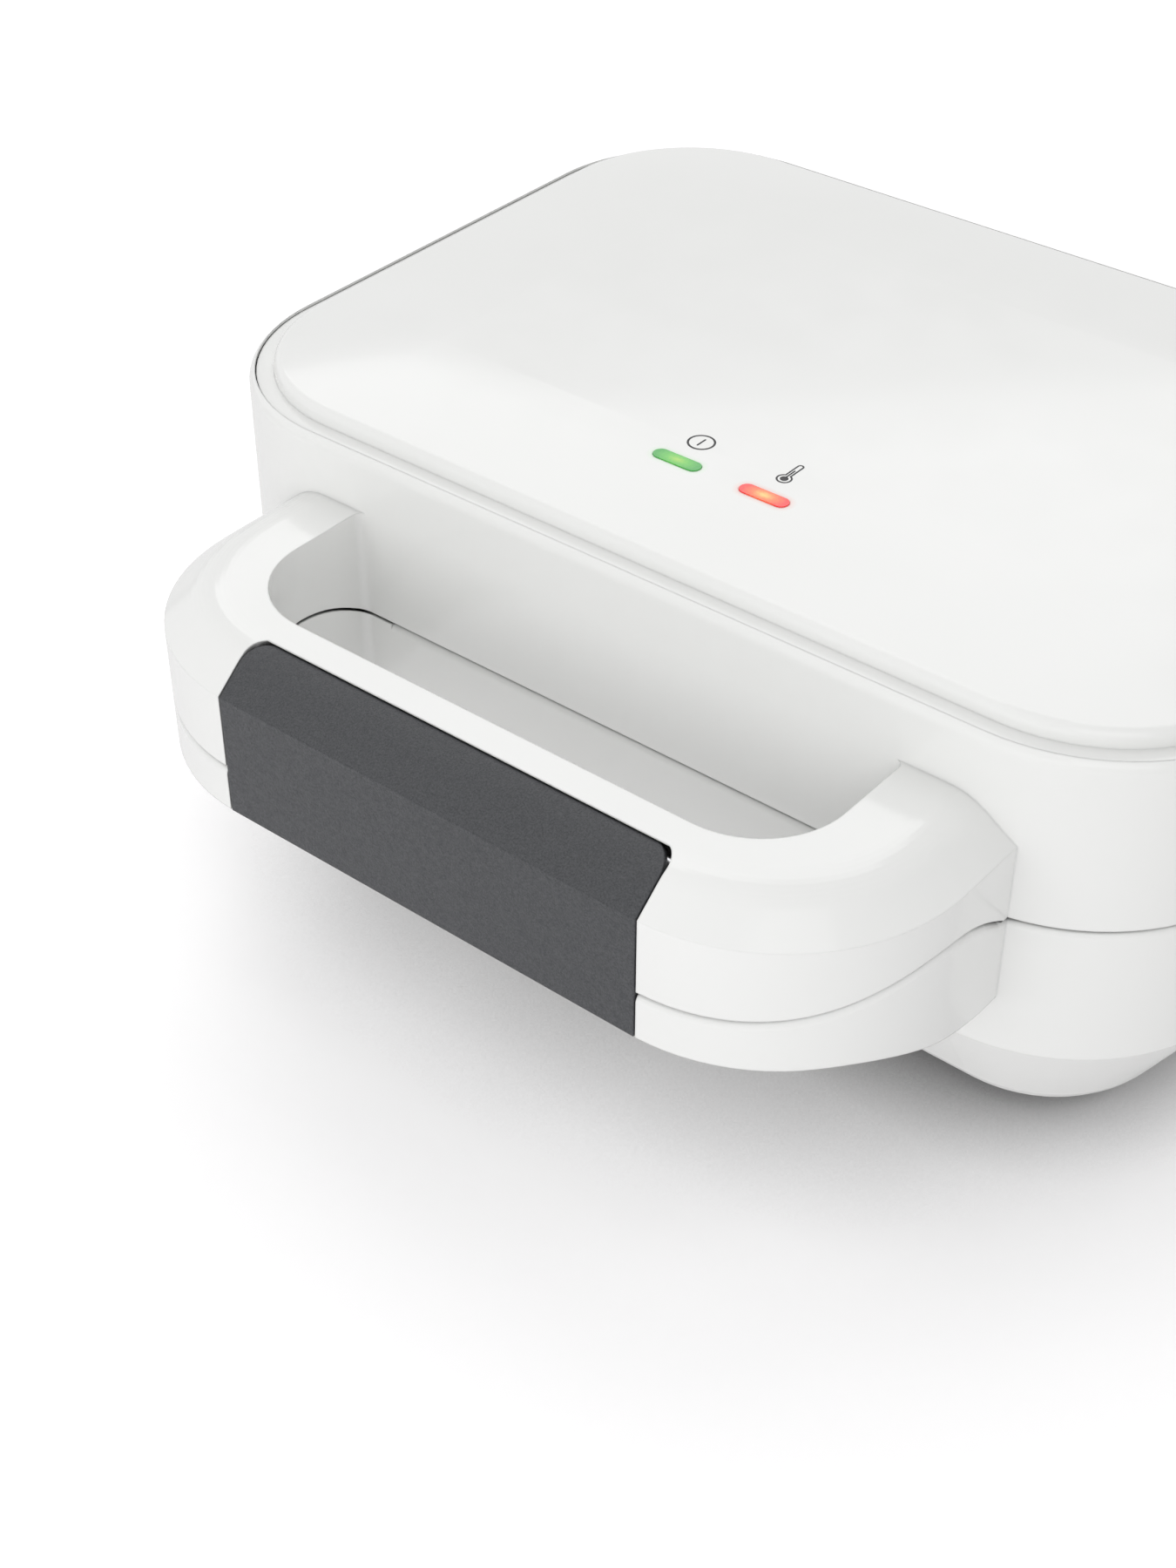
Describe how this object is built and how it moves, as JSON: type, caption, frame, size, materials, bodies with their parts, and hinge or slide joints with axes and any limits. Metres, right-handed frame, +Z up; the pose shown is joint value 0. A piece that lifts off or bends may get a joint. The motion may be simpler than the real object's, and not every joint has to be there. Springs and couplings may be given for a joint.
{
  "type": "sandwich toaster",
  "caption": "Countertop sandwich toaster with a hinged lid, split loop handle, latch clip, indicator lamps and deep diagonal-cut cooking plates.",
  "frame": {"origin": "on the table, under the middle of the toaster's overall box with handle and hinge", "axes": "+X to the user's right seen from the handle, +Y from the handle to the hinge, +Z up"},
  "size_m": [0.268, 0.262, 0.1185],
  "materials": {
    "white_gloss": "gloss",
    "grey_grip": "soft-touch, finely grained",
    "coated_plate": "non-stick coating, satin",
    "bright_steel": "plain",
    "reflector_sheet": "mill",
    "black_rubber": "matt",
    "dark_plastic": "matt",
    "green_lens": "clear gloss",
    "red_lens": "clear gloss",
    "lamp_glass": "clear",
    "wire_sleeve": "woven sleeve"
  },
  "bodies": {
    "base": {"lower_housing": "white_gloss", "lower_handle_cover": "white_gloss", "lower_plate": "coated_plate", "lower_element": "bright_steel", "lower_element_clamps": "bright_steel", "lower_clamp_screws": "bright_steel", "lower_reflector": "reflector_sheet", "lower_plate_screws": "bright_steel", "lower_cover_screws": "bright_steel", "thermostat": "dark_plastic", "terminal_block": "dark_plastic", "cord_gland": "dark_plastic", "feet": "black_rubber", "hinge_pins": "bright_steel", "base_wires": "wire_sleeve"},
    "lid": {"lid_housing": "white_gloss", "lid_top_panel": "white_gloss", "upper_handle_cover": "white_gloss", "upper_plate": "coated_plate", "upper_element": "bright_steel", "upper_element_clamps": "bright_steel", "upper_clamp_screws": "bright_steel", "upper_reflector": "reflector_sheet", "upper_plate_screws": "bright_steel", "upper_cover_screws": "bright_steel", "thermal_fuse": "bright_steel", "fuse_clip": "bright_steel", "power_lens": "green_lens", "ready_lens": "red_lens", "power_lamp": "lamp_glass", "ready_lamp": "lamp_glass", "lamp_holder": "dark_plastic", "lid_wires": "wire_sleeve", "latch_pin": "bright_steel"},
    "latch": {"latch": "grey_grip"}
  },
  "joints": [
    {"name": "lid_hinge", "type": "hinge", "parent": "base", "child": "lid", "pos_m": [0, 0.1263, 0.0716], "axis": [-1, 0, 0], "range_deg": [0, 100]},
    {"name": "latch_pivot", "type": "hinge", "parent": "lid", "child": "latch", "pos_m": [0, -0.1189, 0.09541], "axis": [-1, 0, 0], "range_deg": [0, 30]}
  ]
}
